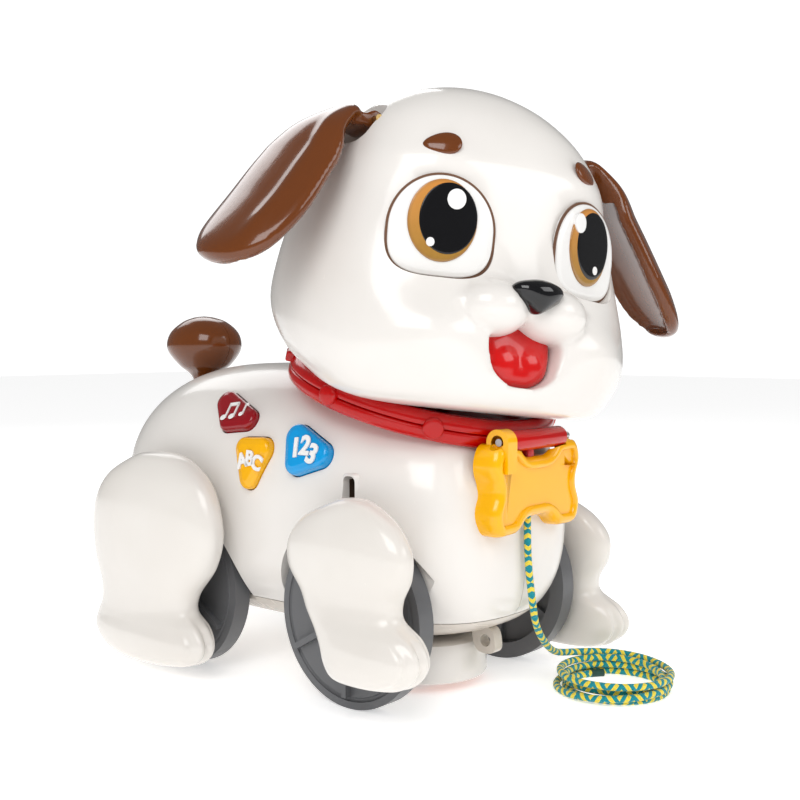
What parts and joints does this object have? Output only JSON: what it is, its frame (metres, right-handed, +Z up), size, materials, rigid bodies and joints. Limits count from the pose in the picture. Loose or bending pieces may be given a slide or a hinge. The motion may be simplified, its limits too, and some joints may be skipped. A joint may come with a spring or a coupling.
{
  "type": "pull-along toy puppy",
  "caption": "Wheeled walking puppy in glossy plastic: wheels crank the legs, the head turns, ears, tail and bone tag swing, buttons press, and a braided cord pulls it.",
  "frame": {"origin": "under the centre of the toy, on the floor it stands on", "axes": "+Z up, +X towards the puppy's left flank, -Y the way it looks and rolls"},
  "size_m": [0.211, 0.2663, 0.2523],
  "materials": {
    "white_shell": "glossy moulded plastic",
    "ivory_base": "glossy moulded plastic",
    "ivory_leg": "glossy moulded plastic",
    "brown_plastic": "glossy moulded plastic",
    "red_plastic": "glossy moulded plastic",
    "dark_red_button": "glossy moulded plastic",
    "yellow_plastic": "glossy moulded plastic",
    "blue_plastic": "glossy moulded plastic",
    "grey_wheel": "satin moulded plastic",
    "black_nose": "polished",
    "eye_panel": "glossy, with printed iris and pupil",
    "steel": "turned",
    "tread": "matt",
    "turret_under": "glossy moulded plastic",
    "inner_grey": "satin",
    "board_green": "varnished",
    "cell_green": "wrapped cell",
    "switch_orange": "satin",
    "cord_braid": "braided in two colours"
  },
  "bodies": {
    "torso": {"shell_right": "white_shell", "shell_left": "white_shell", "base_pan": "ivory_base", "battery_door": "ivory_base", "door_screw": "steel", "body_screws": "steel", "batteries": "cell_green", "main_board": "board_green", "speaker": "inner_grey", "neck_post": "inner_grey", "collar_lower": "red_plastic", "collar_upper": "red_plastic", "collar_studs": "red_plastic", "bone_pin": "steel", "tail_pin": "steel", "button_pads": "inner_grey", "button_board": "board_green", "cord": "cord_braid", "cord_coil": "cord_braid"},
    "front_wheels": {"front_axle": "steel", "wheel_front_right": "grey_wheel", "wheel_front_left": "grey_wheel"},
    "rear_wheels": {"rear_axle": "steel", "wheel_rear_right": "grey_wheel", "wheel_rear_left": "grey_wheel"},
    "leg_front_right_body": {"leg_front_right": "ivory_leg", "guide_pin_front_right": "steel"},
    "leg_front_left_body": {"leg_front_left": "ivory_leg", "guide_pin_front_left": "steel"},
    "leg_rear_right_body": {"leg_rear_right": "ivory_leg", "guide_pin_rear_right": "steel"},
    "leg_rear_left_body": {"leg_rear_left": "ivory_leg", "guide_pin_rear_left": "steel"},
    "turret": {"turret_housing": "white_shell", "turret_plate": "turret_under", "turret_motor": "steel"},
    "turret_drive": {"turret_axle": "steel", "turret_wheels": "grey_wheel", "turret_tyres": "tread"},
    "head": {"head_front": "white_shell", "head_back": "white_shell", "nose": "black_nose", "tongue": "red_plastic", "eye_right": "eye_panel", "eye_left": "eye_panel", "brow_right": "brown_plastic", "brow_left": "brown_plastic", "ear_pin_right": "steel", "ear_pin_left": "steel"},
    "ear_right_body": {"ear_right": "brown_plastic"},
    "ear_left_body": {"ear_left": "brown_plastic"},
    "bone": {"bone_tag": "yellow_plastic"},
    "tail": {"tail_right": "brown_plastic", "tail_left": "brown_plastic"},
    "button_music_body": {"button_music": "dark_red_button"},
    "button_abc_body": {"button_abc": "yellow_plastic"},
    "button_123_body": {"button_123": "blue_plastic"},
    "switch": {"power_switch": "switch_orange"}
  },
  "joints": [
    {"name": "front_wheel_spin", "type": "hinge", "parent": "torso", "child": "front_wheels", "pos_m": [0.00739, -0.04185, 0.037], "axis": [1, 0, 0], "continuous": true},
    {"name": "rear_wheel_spin", "type": "hinge", "parent": "torso", "child": "rear_wheels", "pos_m": [0.00739, 0.06255, 0.037], "axis": [1, 0, 0], "continuous": true},
    {"name": "leg_front_right_swing", "type": "hinge", "parent": "front_wheels", "child": "leg_front_right_body", "pos_m": [-0.05661, -0.04185, 0.043], "axis": [1, 0, 0], "continuous": true},
    {"name": "leg_front_left_swing", "type": "hinge", "parent": "front_wheels", "child": "leg_front_left_body", "pos_m": [0.07139, -0.04185, 0.031], "axis": [1, 0, 0], "continuous": true},
    {"name": "leg_rear_right_swing", "type": "hinge", "parent": "rear_wheels", "child": "leg_rear_right_body", "pos_m": [-0.05661, 0.06255, 0.031], "axis": [1, 0, 0], "continuous": true},
    {"name": "leg_rear_left_swing", "type": "hinge", "parent": "rear_wheels", "child": "leg_rear_left_body", "pos_m": [0.07139, 0.06255, 0.043], "axis": [1, 0, 0], "continuous": true},
    {"name": "turret_turn", "type": "hinge", "parent": "torso", "child": "turret", "pos_m": [0.00739, -0.03585, 0.02], "axis": [0, 0, 1], "continuous": true},
    {"name": "turret_wheel_spin", "type": "hinge", "parent": "turret", "child": "turret_drive", "pos_m": [0.00739, -0.03585, 0.0091], "axis": [1, 0, 0], "continuous": true},
    {"name": "head_turn", "type": "hinge", "parent": "torso", "child": "head", "pos_m": [0.00739, -0.03515, 0.126], "axis": [0, -0.2974, 0.9548], "range_deg": [-22.6, 67.4]},
    {"name": "ear_right_flap", "type": "hinge", "parent": "head", "child": "ear_right_body", "pos_m": [-0.03377, -0.0388, 0.23431], "axis": [-0.3638, -0.9312, 0.0214], "range_deg": [-15, 0]},
    {"name": "ear_left_flap", "type": "hinge", "parent": "head", "child": "ear_left_body", "pos_m": [0.05683, -0.07446, 0.2232], "axis": [0.3638, 0.9312, -0.0214], "range_deg": [-21, 0]},
    {"name": "bone_swing", "type": "hinge", "parent": "torso", "child": "bone", "pos_m": [0.00739, -0.09365, 0.108], "axis": [-1, 0, 0], "range_deg": [0, 75]},
    {"name": "tail_wag", "type": "hinge", "parent": "torso", "child": "tail", "pos_m": [0.00739, 0.11015, 0.1], "axis": [0, 1, 0], "range_deg": [-10, 10], "stiffness_Nm_per_rad": 0.08},
    {"name": "button_music_press", "type": "slide", "parent": "torso", "child": "button_music_body", "axis": [0.8387, 0, -0.5446], "range_m": [0, 0.002], "stiffness_N_per_m": 300},
    {"name": "button_abc_press", "type": "slide", "parent": "torso", "child": "button_abc_body", "axis": [0.9903, 0, -0.1392], "range_m": [0, 0.002], "stiffness_N_per_m": 300},
    {"name": "button_123_press", "type": "slide", "parent": "torso", "child": "button_123_body", "axis": [0.9455, 0, -0.3256], "range_m": [0, 0.002], "stiffness_N_per_m": 300},
    {"name": "power_switch_slide", "type": "slide", "parent": "torso", "child": "switch", "axis": [0, 1, 0], "range_m": [0, 0.004]}
  ],
  "couplings": [
    {"joint": "leg_front_right_swing", "follows": "front_wheel_spin", "ratio": -1},
    {"joint": "leg_front_left_swing", "follows": "front_wheel_spin", "ratio": -1},
    {"joint": "leg_rear_right_swing", "follows": "rear_wheel_spin", "ratio": -1},
    {"joint": "leg_rear_left_swing", "follows": "rear_wheel_spin", "ratio": -1}
  ]
}
